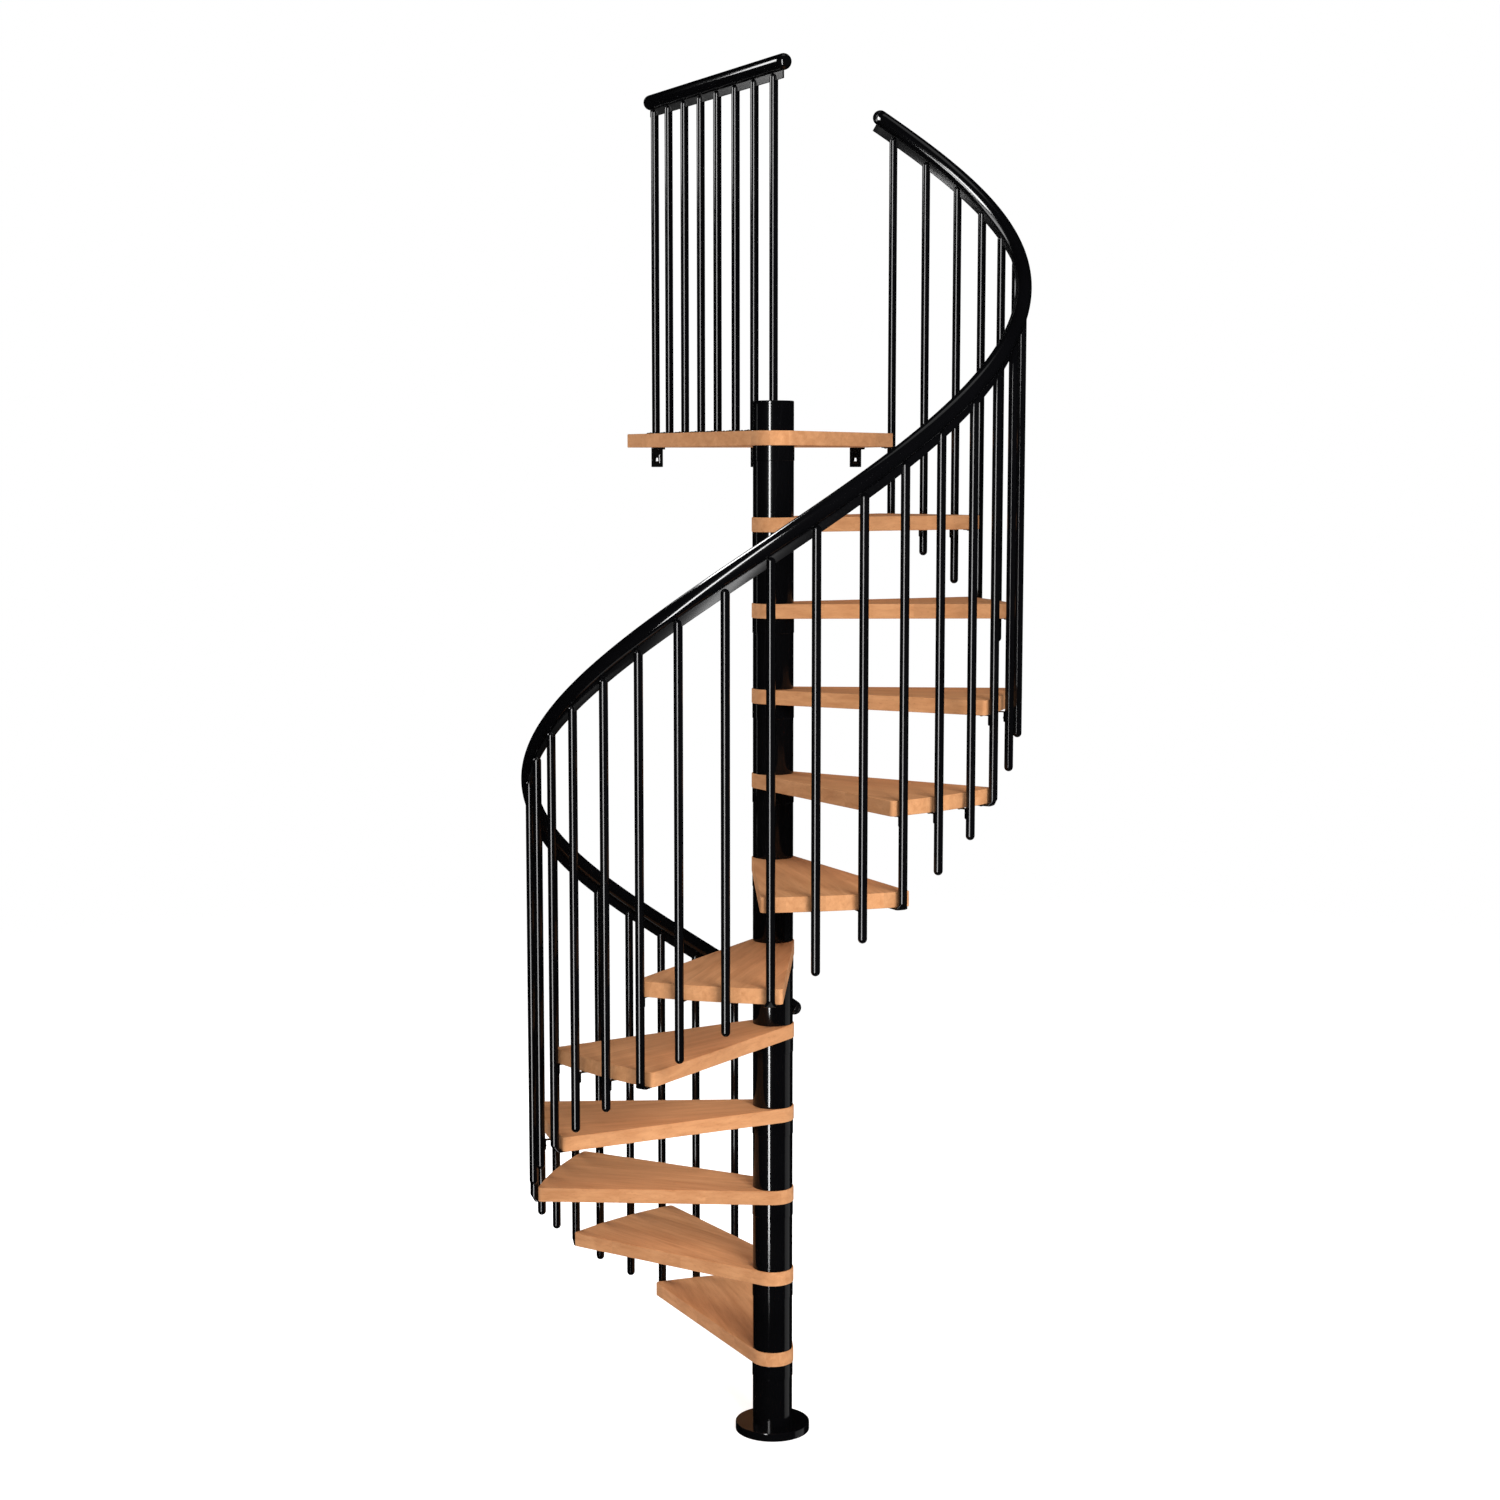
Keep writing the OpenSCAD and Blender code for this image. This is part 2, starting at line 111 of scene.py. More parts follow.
def piece(name, skins, coat, nodes=(), grain=None):
    """One object from grids of points in millimetres. A skin is (points, rows_closed, columns_closed), its
    points in the shape (copies, rows, columns, 3). Points that meet are merged, which closes poles."""
    points, faces, start = [], [], 0
    for grid, rows_closed, columns_closed in skins:
        copies, rows, columns = grid.shape[:3]
        cells = woven(rows, columns, rows_closed, columns_closed)
        shift = start + np.arange(copies)[:, None, None] * rows * columns
        points.append(grid.reshape(-1, 3))
        faces.append((cells[None] + shift).reshape(-1, 4))
        start += copies * rows * columns
    mesh = bpy.data.meshes.new(name)
    mesh.from_pydata((np.concatenate(points) / mm_per_metre).tolist(), [], np.concatenate(faces).tolist())
    if grain is not None:
        kept = mesh.attributes.new("grain", "FLOAT_VECTOR", "POINT")
        kept.data.foreach_set("vector", grain.ravel() / mm_per_metre)
    shell = bmesh.new()
    shell.from_mesh(mesh)
    bmesh.ops.remove_doubles(shell, verts=shell.verts, dist=merge_distance)
    bmesh.ops.recalc_face_normals(shell, faces=shell.faces)
    shell.to_mesh(mesh)
    shell.free()
    mesh.polygons.foreach_set("use_smooth", np.ones(len(mesh.polygons), bool))
    mesh.materials.append(coat)
    made = placed(name, mesh)
    made.modifiers.new("flat faces stay flat", "WEIGHTED_NORMAL").weight = 100
    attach(made, "root")
    if nodes:
        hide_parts(*nodes)


def eased(corners, radii, steps=4):
    """A profile with its corners eased: each corner, set back by its radius along both edges, becomes the
    curve (1-s)^2 a + 2 s (1-s) p + s^2 b. The profile is open, and its two ends stay as they are."""
    corners = np.asarray(corners, float)
    before, here, after = corners[:-2], corners[1:-1], corners[2:]
    back = np.asarray(radii, float)[:, None]
    a = here + back * (before - here) / np.linalg.norm(before - here, axis=1)[:, None]
    b = here + back * (after - here) / np.linalg.norm(after - here, axis=1)[:, None]
    s = np.linspace(0, 1, steps + 1)[None, :, None]
    curve = (1 - s) ** 2 * a[:, None] + 2 * s * (1 - s) * here[:, None] + s ** 2 * b[:, None]
    return np.concatenate([corners[:1], curve.reshape(-1, 2), corners[-1:]])


def disc(radius, height, eases):
    """A disc's profile: out along the underside, up the side and back over the top, its edges eased."""
    return eased([[0, 0], [radius, 0], [radius, height], [0, height]], eases)


def all_round(sides):
    """Directions in radians, evenly spread once round a circle."""
    return np.linspace(0, 2 * np.pi, sides, endpoint=False)


def turned(profile, centres, heights, sides):
    """Copies of a turned piece: the profile's (radius, height) points swing once round a vertical axis that
    stands at each centre, with that copy's own height added. One profile or centre may serve all copies."""
    swing = all_round(sides)
    profile = np.broadcast_to(profile, (len(heights), *np.shape(profile)[-2:]))
    centres = np.broadcast_to(centres, (len(heights), 2))
    r, z = profile[..., 0, None], profile[..., 1, None]
    x = centres[:, 0, None, None] + r * np.cos(swing)
    y = centres[:, 1, None, None] + r * np.sin(swing)
    return np.stack([x, y, z + np.asarray(heights)[:, None, None] + 0 * swing], -1)


flange = turned(disc(flange_radius, flange_height, flange_eases), on_axis, [0], wide_sides)
piece("flange", [(flange, False, True)], powder_coat, ["base_flange"])

# Column
# Steel tubes threaded on a pole, one between each tread and the next, with a wider collar under each
# tread that clamps it. A turned disc closes the top.

tread_count, riser, first_rise, plank_height = 11, 209.3, 214.7, 35.8
column_radius, bore_radius, column_stub, pole_hole = 50.0, 46.0, 72.0, 24.5
tube_lip, tube_ease, tube_ease_steps = 0.5, 0.2, 2
collar_radius, collar_height, collar_eases = 51.25, 36.8, (0.3, 1.0, 0.6, 0.3)
disc_height, disc_eases = 8.0, (0.5, 3.0)

plank_tops = first_rise + riser * np.arange(tread_count + 1)
landing_top = plank_tops[-1]
column_top = landing_top + column_stub
collar_feet = plank_tops - plank_height - collar_height
tube_feet = np.concatenate([[flange_height], plank_tops])
tube_ends = np.concatenate([collar_feet, [column_top - disc_height]])
tube_edge = eased([[bore_radius, tube_lip], [bore_radius, 0], [column_radius, 0], [column_radius, tube_lip]],
                  [tube_ease, tube_ease], tube_ease_steps)
tube_lengths = (tube_ends - tube_feet)[:, None]
tube_low = np.broadcast_to(tube_edge, (len(tube_feet), *tube_edge.shape))
tube_high = np.stack([tube_low[..., 0], tube_lengths - tube_low[..., 1]], -1)[:, ::-1]
tubes = turned(np.concatenate([tube_low, tube_high], 1), on_axis, tube_feet, wide_sides)
piece("column_spacers", [(tubes, True, True)], powder_coat, ["column_tubes"])

bore_middle = [pole_hole, collar_height / 2]
collar_profile = eased([bore_middle, [pole_hole, 0], [collar_radius, 0], [collar_radius, collar_height],
                        [pole_hole, collar_height], bore_middle], collar_eases)[:-1]
collars = turned(collar_profile, on_axis, collar_feet, wide_sides)
piece("column_clamps", [(collars, True, True)], powder_coat, ["column_collars"])

disc_profile = disc(column_radius, disc_height, disc_eases)
top_disc = turned(disc_profile, on_axis, [column_top - disc_height], wide_sides)
piece("column_disc", [(top_disc, False, True)], powder_coat, ["column_cap"])
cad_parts["centre_pole"].data.materials.clear()
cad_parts["centre_pole"].data.materials.append(powder_coat)

# Treads and landing
# Wedges of steamed beech, glued up from staves that run out from the column, sanded and lacquered satin.
# The narrow end is a round eye on the pole, clamped between a collar and the tube above.

# Beech: a warm even pinkish brown. Staves of 46 mm differ a little, and soft bands run along them, 200 by
# 16 mm. Short darker flecks lie in the bands: 6 by 1 mm in life, they are drawn at 24 by 2.4 mm to show.
stave_metres = 0.046
bands_per_metre, flecks_per_metre = (5.0, 62.0, 62.0), (42.0, 420.0, 420.0)
beech, tree = finish_of("lacquered_beech")
fibre = join(tree, "Attribute", {}, attribute_name="grain")
along = join(tree, "SeparateXYZ", {"Vector": (fibre, "Vector")})
stave = join(tree, "Math", {0: (along, "Y"), 1: stave_metres}, operation="DIVIDE")
stave_number = join(tree, "Math", {0: (stave, "Value")}, operation="FLOOR")
stave_tone = join(tree, "TexWhiteNoise", {"W": (stave_number, "Value")}, noise_dimensions="1D")
stave_slip = join(tree, "CombineXYZ", {"X": (stave_tone, "Value"), "Y": 0.0, "Z": (stave_tone, "Value")})
slipped = join(tree, "VectorMath", {0: (fibre, "Vector"), 1: (stave_slip, "Vector")}, operation="ADD")
band_place = join(tree, "Mapping", {"Vector": (slipped, "Vector"), "Scale": bands_per_metre})
bands = join(tree, "TexNoise", {"Vector": (band_place, "Vector"), "Scale": 1.0, "Detail": 4.0,
                                "Roughness": 0.6, "Distortion": 0.4})
fleck_place = join(tree, "Mapping", {"Vector": (slipped, "Vector"), "Scale": flecks_per_metre})
flecks = join(tree, "TexNoise", {"Vector": (fleck_place, "Vector"), "Scale": 1.0, "Detail": 2.0})
band_tone = join(tree, "ValToRGB", {"Fac": (bands, "Fac")})
for stop, position, colour in zip(band_tone.color_ramp.elements, (0.3, 0.7), ("c88b5c", "dfa372")):
    stop.position = position
    stop.color = linear(colour)
fleck_share = join(tree, "MapRange", {"Value": (flecks, "Fac"), "From Min": 0.58, "From Max": 0.74,
                                      "To Min": 0.0, "To Max": 0.32})
flecked = join(tree, "MixRGB", {"Fac": (fleck_share, "Result"), "Color1": (band_tone, "Color"),
                                "Color2": linear("a4683d")})
stave_value = join(tree, "MapRange", {"Value": (stave_tone, "Value"), "To Min": 0.93, "To Max": 1.05})
toned = join(tree, "HueSaturation", {"Color": (flecked, "Color"), "Value": (stave_value, "Result")})
satin = join(tree, "MapRange", {"Value": (bands, "Fac"), "To Min": 0.46, "To Max": 0.58})
pores = join(tree, "Bump", {"Height": (flecks, "Fac"), "Strength": 0.12, "Distance": 0.0004})
shader = join(tree, "BsdfPrincipled", {"Base Color": (toned, "Color"), "Roughness": (satin, "Result"),
                                       "Specular IOR Level": 0.22, "Normal": (pores, "Normal")})
join(tree, "OutputMaterial", {"Surface": (shader, "BSDF")})

tread_turn, start_turn = 29.85, 89.86
baluster_circle, tread_reach, tread_bow, eye_radius = 600.0, 590.0, 14.0, 53.0
front_past, rear_past, corner_radius, plank_ease = 2.3, 2.7, 9.0, 2.2
bow_points, bow_trim, eye_points, edge_points, edge_margin = 25, 2, 41, 5, 0.1
next_plank = np.array([1700.0, 1857.0, 90.0])


def polar(radius, degrees):
    """Points at a distance from the column's axis and a direction in degrees."""
    return np.stack([radius * np.cos(np.radians(degrees)), radius * np.sin(np.radians(degrees))], -1)


def arc(centre, radius, first, last, count):
    """Points of a circle from one direction to another, in degrees."""
    return np.asarray(centre) + polar(radius, np.linspace(first, last, count))


def straight(a, b, count, margin):
    """Points of the straight edge from a to b, clear of both ends by a share of its length."""
    return a + np.linspace(margin, 1 - margin, count)[:, None] * (b - a)


def corner(a, p, b, radius, count=9):
    """A corner p between a and b, rounded by the circle that touches both edges."""
    u = (a - p) / np.linalg.norm(a - p)
    w = (b - p) / np.linalg.norm(b - p)
    half = np.arccos(u @ w) / 2
    centre = p + (u + w) / np.linalg.norm(u + w) * radius / np.sin(half)
    first = np.degrees(np.arctan2(*(p + u * radius / np.tan(half) - centre)[::-1]))
    last = np.degrees(np.arctan2(*(p + w * radius / np.tan(half) - centre)[::-1]))
    return arc(centre, radius, first, first + (last - first + 180) % 360 - 180, count)


def tread_outline():
    """A tread in plan with its middle line along +X: two straight edges that touch the eye's circle, rounded
    outer corners, and an outer edge bowed into a flat arc, which the corners cut short."""
    half = (tread_turn + front_past + rear_past) / 2
    low, high = polar(tread_reach, -half), polar(tread_reach, half)
    lean = np.degrees(np.arccos(eye_radius / tread_reach))
    chord = np.linalg.norm(high - low) / 2
    bow_radius = (chord ** 2 + tread_bow ** 2) / (2 * tread_bow)
    bow_half = np.degrees(np.arcsin(chord / bow_radius))
    bow_centre = [low[0] + tread_bow - bow_radius, 0]
    bow = arc(bow_centre, bow_radius, -bow_half, bow_half, bow_points)[bow_trim:-bow_trim]
    eye = arc(on_axis, eye_radius, half + lean, 360 - half - lean, eye_points)
    return np.concatenate([straight(eye[-1], low, edge_points, edge_margin),
                           corner(eye[-1], low, bow[0], corner_radius), bow,
                           corner(bow[-1], high, eye[0], corner_radius),
                           straight(high, eye[0], edge_points, edge_margin), eye])


def slab(outline, height, hole_radius, edge_radius):
    """A flat piece over a star-shaped outline with a round hole: rings as long as the outline run from the
    hole's foot out along the underside, up the eased edge and back over the top, to join the first."""
    ahead, behind = np.roll(outline, -1, 0), np.roll(outline, 1, 0)
    run = (ahead - behind) / np.linalg.norm(ahead - behind, axis=1)[:, None]
    outward = np.stack([run[:, 1], -run[:, 0]], -1)
    hole = outline / np.linalg.norm(outline, axis=1)[:, None] * hole_radius
    edge = eased([[edge_radius * 2, 0], [0, 0], [0, height], [edge_radius * 2, height]],
                 [edge_radius, edge_radius])
    rim = outline[None] - outward[None] * edge[:, 0, None, None]
    share = np.array([0.0, 0.5])[:, None, None]
    flat_rings = hole[None] + share * (rim[0] - hole)[None]
    rings = np.concatenate([flat_rings, rim, flat_rings[::-1]])
    z = np.concatenate([[0, 0], edge[:, 1], [height, height]])
    return np.concatenate([rings, np.broadcast_to(z[:, None, None], (*rings.shape[:2], 1))], -1)


def plank(name, number, outline, direction, height, nodes):
    """Turns a slab about the column's axis to its direction and lifts it. Its points along the fibre, across
    it and up are kept as grain, moved on by over forty staves a plank, so that no two are alike."""
    flat = slab(outline, plank_height, pole_hole, plank_ease)
    c, s = np.cos(np.radians(direction)), np.sin(np.radians(direction))
    stood = np.stack([flat[..., 0] * c - flat[..., 1] * s, flat[..., 0] * s + flat[..., 1] * c,
                      flat[..., 2] + height], -1)
    piece(name, [(stood[None], True, True)], beech, nodes, flat + next_plank * number)


wedge = tread_outline()
wedge_turn = (rear_past - front_past) / 2
tread_directions = start_turn + tread_turn * (np.arange(tread_count) + 0.5) + wedge_turn
for i in range(tread_count):
    plank("beech_tread_%02d" % (i + 1), i + 1, wedge, tread_directions[i],
          plank_tops[i] - plank_height, ["tread_%02d" % (i + 1)])

landing_depth, landing_right, landing_reach, landing_past = 650.0, 258.0, 566.0, 2.35
rail_direction, wall_direction = 117.1, 90.0
landing_eye_points, landing_edge_points, landing_edge_margin = 33, 6, 0.08


def landing_outline():
    """The landing in plan: an edge along the rail, a straight back edge at the upper floor, a short right
    side, and an edge back to the column that touches the eye's circle."""
    front = start_turn + tread_count * tread_turn - landing_past
    lean = np.degrees(np.arccos(eye_radius / landing_reach))
    eye = arc(on_axis, eye_radius, rail_direction + 90, front - lean, landing_eye_points)
    left_run = (landing_depth - eye[0][1]) / np.sin(np.radians(rail_direction))
    stops = [eye[-1], polar(landing_reach, front), np.array([landing_right, landing_depth]),
             eye[0] + polar(left_run, rail_direction), eye[0]]
    near_edge, back_edge, rail_edge = [
        straight(stops[i], stops[i + 1], landing_edge_points, landing_edge_margin) for i in (0, 2, 3)]
    front_corner, right_corner, left_corner = [
        corner(*stops[i - 1:i + 2], corner_radius) for i in (1, 2, 3)]
    return np.concatenate([near_edge, front_corner, right_corner, back_edge, left_corner, rail_edge, eye])


# The landing's staves run towards the wall, so its outline is turned to lie along +X first.
quarter_back = np.array([[0.0, -1.0], [1.0, 0.0]])
plank("beech_landing", tread_count + 2, landing_outline() @ quarter_back, wall_direction,
      landing_top - plank_height, ["landing"])

# Balusters
# Steel tubes of 21 mm with domed ends, powder-coated black. Those at the treads' corners run down to the
# tread below, where the tube is pressed flat, bent in and screwed under it; the rest hang past their tread.

baluster_radius, rail_height, dome_drop, hang_drop = 10.5, 999.5, 25.6, 33.6
per_tread, baluster_steps = 3, np.array([0, 9.67, 20.15])
rail_gain, rod_sides, dome_points = 5.0, 28, 9
rail_climb = riser + rail_gain / tread_count
numbers = np.arange(per_tread * tread_count + 1)
baluster_turns = start_turn + tread_turn * (numbers // per_tread) + baluster_steps[numbers % per_tread]
baluster_places = polar(baluster_circle, baluster_turns)
baluster_tops = rail_height + rail_climb * numbers / per_tread - dome_drop
quarter_turn = np.linspace(0, np.pi / 2, dome_points)
dome = np.stack([np.sin(quarter_turn), np.cos(quarter_turn) - 1], -1) * baluster_radius


def rods(places, feet, tops, domed_foot):
    """Upright tubes with a domed top: a quarter circle or flat foot, a straight side, a quarter circle."""
    foot = dome * [1, -1] if domed_foot else np.array([[0, 0], [baluster_radius, 0]])
    low, high = [np.stack([0 * z, z], -1)[:, None] for z in (feet, tops)]
    return turned(np.concatenate([foot + low, dome[::-1] + high], 1), places, 0 * tops, rod_sides)


between = numbers[numbers % per_tread > 0]
hang_feet = riser * between / per_tread - hang_drop
hanging_rods = rods(baluster_places[between], hang_feet, baluster_tops[between], True)
piece("hanging_balusters", [(hanging_rods, False, True)], powder_coat, ["middle_balusters"])

foot_length, foot_width, foot_thickness, foot_rise, foot_knee = 42.0, 31.0, 5.0, 12.0, -2.0
foot_above, foot_inside, outer_eases, inner_eases = 60.0, 2.5, (1.5, 3.0), (1.0, 1.0)
foot_squareness, foot_end_share, press_rings = 0.45, 0.96, 5
at_corners = numbers[per_tread::per_tread]
foot_heights = plank_tops[:tread_count] - plank_height


def set_out(places, turns, out, aside, up):
    """Rings given as out along the radius, aside and up, turned to each place's direction and put there."""
    c, s = np.cos(np.radians(turns))[:, None, None], np.sin(np.radians(turns))[:, None, None]
    x = places[:, 0, None, None] + out * c - aside * s
    y = places[:, 1, None, None] + out * s + aside * c
    return np.stack([x, y, up], -1)


def footed_tubes(places, turns, undersides, tops):
    """Tubes with a pressed foot: oval rings span from an outer to an inner line. Both run down the tube; the
    outer one kinks inwards, and both then run in under the tread. From the kink to the knee the rings widen
    and their ovals grow squarer, and a last narrow ring closes the foot's end."""
    start = foot_rise + foot_above
    outer = eased([[baluster_radius, start], [baluster_radius, foot_rise], [foot_knee, -foot_thickness],
                   [-foot_length, -foot_thickness]], outer_eases)
    inner = eased([[-baluster_radius, start], [-baluster_radius, foot_inside],
                   [-baluster_radius - foot_inside, 0], [-foot_length, 0]], inner_eases)
    end = len(outer) - 1
    kink, knee = end // 2, end // 2 + 1
    rings = np.concatenate([np.arange(kink), np.linspace(kink, knee, press_rings),
                            np.arange(knee + 1, end + 1), [end]])
    outer, inner = [np.stack([np.interp(rings, np.arange(end + 1), line[:, k]) for k in (0, 1)], -1)
                    for line in (outer, inner)]
    press = np.clip(rings - kink, 0, 1)[:, None]
    middle, reach = (outer + inner) / 2, (outer - inner) / 2
    wide = baluster_radius + press * (foot_width / 2 - baluster_radius)
    reach[-1], wide[-1] = 0, foot_end_share * wide[-1]
    swing = all_round(rod_sides)
    power = 1 - foot_squareness * press
    oval_w = wide * np.sign(np.cos(swing)) * np.abs(np.cos(swing)) ** power
    oval_d = np.sign(np.sin(swing)) * np.abs(np.sin(swing)) ** power
    out = np.concatenate([dome[:, :1] * np.sin(swing), middle[:, :1] + reach[:, :1] * oval_d])
    aside = np.concatenate([dome[:, :1] * np.cos(swing), oval_w])
    head = tops[:, None, None] + dome[:, 1:] + 0 * swing
    foot = undersides[:, None, None] + (middle[:, 1:] + reach[:, 1:] * oval_d)
    return set_out(places, turns, out, aside, np.concatenate([head, foot], 1))


corner_rods = footed_tubes(baluster_places[at_corners], baluster_turns[at_corners], foot_heights,
                           baluster_tops[at_corners])
piece("footed_balusters", [(corner_rods, False, True)], powder_coat,
      ["corner_balusters", "baluster_feet"])

# The first baluster stands on the floor in a round plate, at the back of the first tread.
plate_radius, plate_height, plate_eases, plate_sides = 25.0, 3.0, (0.3, 1.5), 48
plate_profile = disc(plate_radius, plate_height, plate_eases)
first_rod = rods(baluster_places[:1], np.array([plate_height]), baluster_tops[:1], False)
first_plate = turned(plate_profile, baluster_places[:1], [0], plate_sides)
piece("floor_baluster", [(first_rod, False, True), (first_plate, False, True)], powder_coat,
      ["first_baluster"])

# Baluster brackets
# Angles bent from flat steel: one leg is screwed under the tread and the other hangs down its outer edge,
# against the baluster, which a bolt holds through it.

bracket_width, bracket_sheet, bracket_drop, bracket_leg, bracket_chamfer = 12.0, 2.0, 25.0, 34.0, 3.0
bracket_trim, inner_bend, bend_points = 0.5, 1.0, 7
outer_bend = bracket_sheet + inner_bend
bracket_circle = baluster_circle - baluster_radius
bracket_undersides = plank_tops[numbers // per_tread] - plank_height


def capped(rows):
    """Rows with one more at each end, where every point falls on the end row's middle and so closes it."""
    return np.concatenate([0 * rows[:1] + rows[0].mean(), rows, 0 * rows[:1] + rows[-1].mean()])


def bent_strips(places, turns, undersides):
    """Bent strips: a flat section is carried along a leg under the wood, round a bend and down. Its outer
    face lies at each place, and its width tapers where the hanging end's corners are cut."""
    bend = np.linspace(0, np.pi / 2, bend_points)
    legs = [bracket_leg, bracket_leg - bracket_trim]
    drops = [bracket_drop - bracket_chamfer, bracket_drop - bracket_trim, bracket_drop]
    back, down = [], []
    for radius, depth in ((outer_bend, 0.0), (inner_bend, bracket_sheet)):
        back += [np.concatenate([legs, outer_bend - radius * np.sin(bend), [depth] * len(drops)])] * 2
        down += [np.concatenate([[depth] * len(legs), outer_bend - radius * np.cos(bend), drops])] * 2
    half = np.full(len(back[0]), bracket_width / 2)
    half[-2:] = bracket_width / 2 - bracket_chamfer
    half[0] = bracket_width / 2 - bracket_trim
    out, up = capped(-np.stack(back, -1)), capped(-np.stack(down, -1))
    aside = capped(np.stack([-half, half, half, -half], -1))
    return set_out(places, turns, out, aside, undersides[:, None, None] + up)


brackets = bent_strips(polar(bracket_circle, baluster_turns), baluster_turns, bracket_undersides)
piece("baluster_angles", [(brackets, False, True)], powder_coat, ["baluster_brackets"])

# Handrail
# A steel tube of 39 mm bent into a helix over the balusters, with a flat bar of 4 mm welded along its
# underside. The bar sits in the slots of the balusters' domes, and a domed plug closes each end.

rail_radius, rail_sides, rail_stops, rail_before, rail_after = 19.5, 40, 241, 6.0, 3.7
rail_from, rail_to = -rail_before, tread_count * tread_turn + rail_after
rail_slope = np.arctan(rail_climb / (baluster_circle * np.radians(tread_turn)))
rail_turns = np.linspace(rail_from, rail_to, rail_stops)[:, None]
round_it = all_round(rail_sides)


def helix(turn_by, out, up):
    """Points round the helix: at each turn from the first baluster, out along the radius and up square to
    the slope. The axis climbs a little more than one riser for each tread's turn."""
    a = np.radians(start_turn + turn_by)
    radius = baluster_circle + out
    back = -up * np.sin(rail_slope)
    z = rail_height + rail_climb * turn_by / tread_turn + up * np.cos(rail_slope)
    return np.stack([radius * np.cos(a) - back * np.sin(a), radius * np.sin(a) + back * np.cos(a), z], -1)


def helix_run(out, up, middle_up):
    """A section carried along the helix, each end drawn together in the section's middle."""
    low, high = [helix(end, 0 * out, middle_up + 0 * up) for end in (rail_turns[:1], rail_turns[-1:])]
    return np.concatenate([low, helix(rail_turns, out, up), high])[None]


rail_run = helix_run(rail_radius * np.cos(round_it), rail_radius * np.sin(round_it), 0.0)
piece("handrail_tube", [(rail_run, False, True)], powder_coat, ["handrail"])

# Satin black powder coat: the flat bars are duller than the tubes and spread a highlight wide. Their gloss
# is a little cloudy over 110 mm.
satin_per_metre = 9.0
satin_coat, tree = finish_of("satin_black_powder_coat")
place = join(tree, "TexCoord", {})
cloud = join(tree, "TexNoise", {"Vector": (place, "Object"), "Scale": satin_per_metre, "Detail": 3.0})
gloss = join(tree, "MapRange", {"Value": (cloud, "Fac"), "From Min": 0.3, "From Max": 0.7,
                                "To Min": 0.3, "To Max": 0.36})
shader = join(tree, "BsdfPrincipled", {"Base Color": linear("08080a"), "Roughness": (gloss, "Result"),
                                       "Specular IOR Level": 0.25})
join(tree, "OutputMaterial", {"Surface": (shader, "BSDF")})

# The bar's foot has its edges cut, and its head is sunk into the tube. It is measured from the flat under
# the frame's own rail, which has 16 sides.
bar_height, bar_half, bar_chamfer, bar_sunk, frame_rail_sides = 19.0, 2.0, 0.4, 1.5, 16
rail_flat = rail_radius * np.cos(np.pi / frame_rail_sides)
bar_middle = -bar_height / 2 - rail_flat
bar_out = np.array([bar_chamfer - bar_half, bar_half - bar_chamfer, bar_half, bar_half,
                    -bar_half, -bar_half])
bar_up = np.array([-bar_height, -bar_height, bar_chamfer - bar_height, bar_sunk,
                   bar_sunk, bar_chamfer - bar_height]) - rail_flat
bar_run = helix_run(bar_out, bar_up, bar_middle)
piece("handrail_bar", [(bar_run, False, True)], satin_coat, ["handrail_strip"])

# Moulded ABS plug: the same black with a softer shine, uneven over about 4.5 mm.
plug_per_metre = 220.0
plug_plastic, tree = finish_of("moulded_black_abs")
place = join(tree, "TexCoord", {})
mottle = join(tree, "TexNoise", {"Vector": (place, "Object"), "Scale": plug_per_metre, "Detail": 2.0})
sheen = join(tree, "MapRange", {"Value": (mottle, "Fac"), "To Min": 0.2, "To Max": 0.34})
tint = join(tree, "MixRGB", {"Fac": (mottle, "Fac"), "Color1": linear("08080a"),
                             "Color2": linear("121214")})
shader = join(tree, "BsdfPrincipled", {"Base Color": (tint, "Color"), "Roughness": (sheen, "Result"),
                                       "Specular IOR Level": 0.3})
join(tree, "OutputMaterial", {"Surface": (shader, "BSDF")})

swell_points = 10
swell = np.linspace(0, np.pi / 2, swell_points)
swell_out, swell_in = rail_radius * np.sin(swell), rail_radius * np.cos(swell)


def round_skin(start, run, side, up, reach, ring):
    """Rings about a straight axis: each lies its reach along the run from the start, with its radius."""
    circle = np.cos(round_it)[:, None] * side + np.sin(round_it)[:, None] * up
    return (start + reach[:, None, None] * run + ring[:, None, None] * circle)[None]


def helix_plug(turn_by, along):
    """A domed plug on the helix's end: a flat back, then rings of a half sphere about the tube's axis."""
    a = np.radians(start_turn + turn_by)
    out = np.array([np.cos(a), np.sin(a), 0])
    run = np.array([-np.sin(a) * np.cos(rail_slope), np.cos(a) * np.cos(rail_slope), np.sin(rail_slope)])
    centre = helix(np.array([turn_by]), np.zeros(1), np.zeros(1))[0]
    reach = np.concatenate([[0, 0], swell_out]) * along
    ring = np.concatenate([[0, rail_radius], swell_in])
    return round_skin(centre, run, out, np.cross(out, run), reach, ring)


piece("handrail_plugs", [(helix_plug(rail_from, -1), False, True), (helix_plug(rail_to, 1), False, True)],
      plug_plastic, ["handrail_caps"])

# Landing rail
# A straight length of the same tube and bar, over balusters that stand on the landing in round plates.
# The first of them stands on the column's disc.

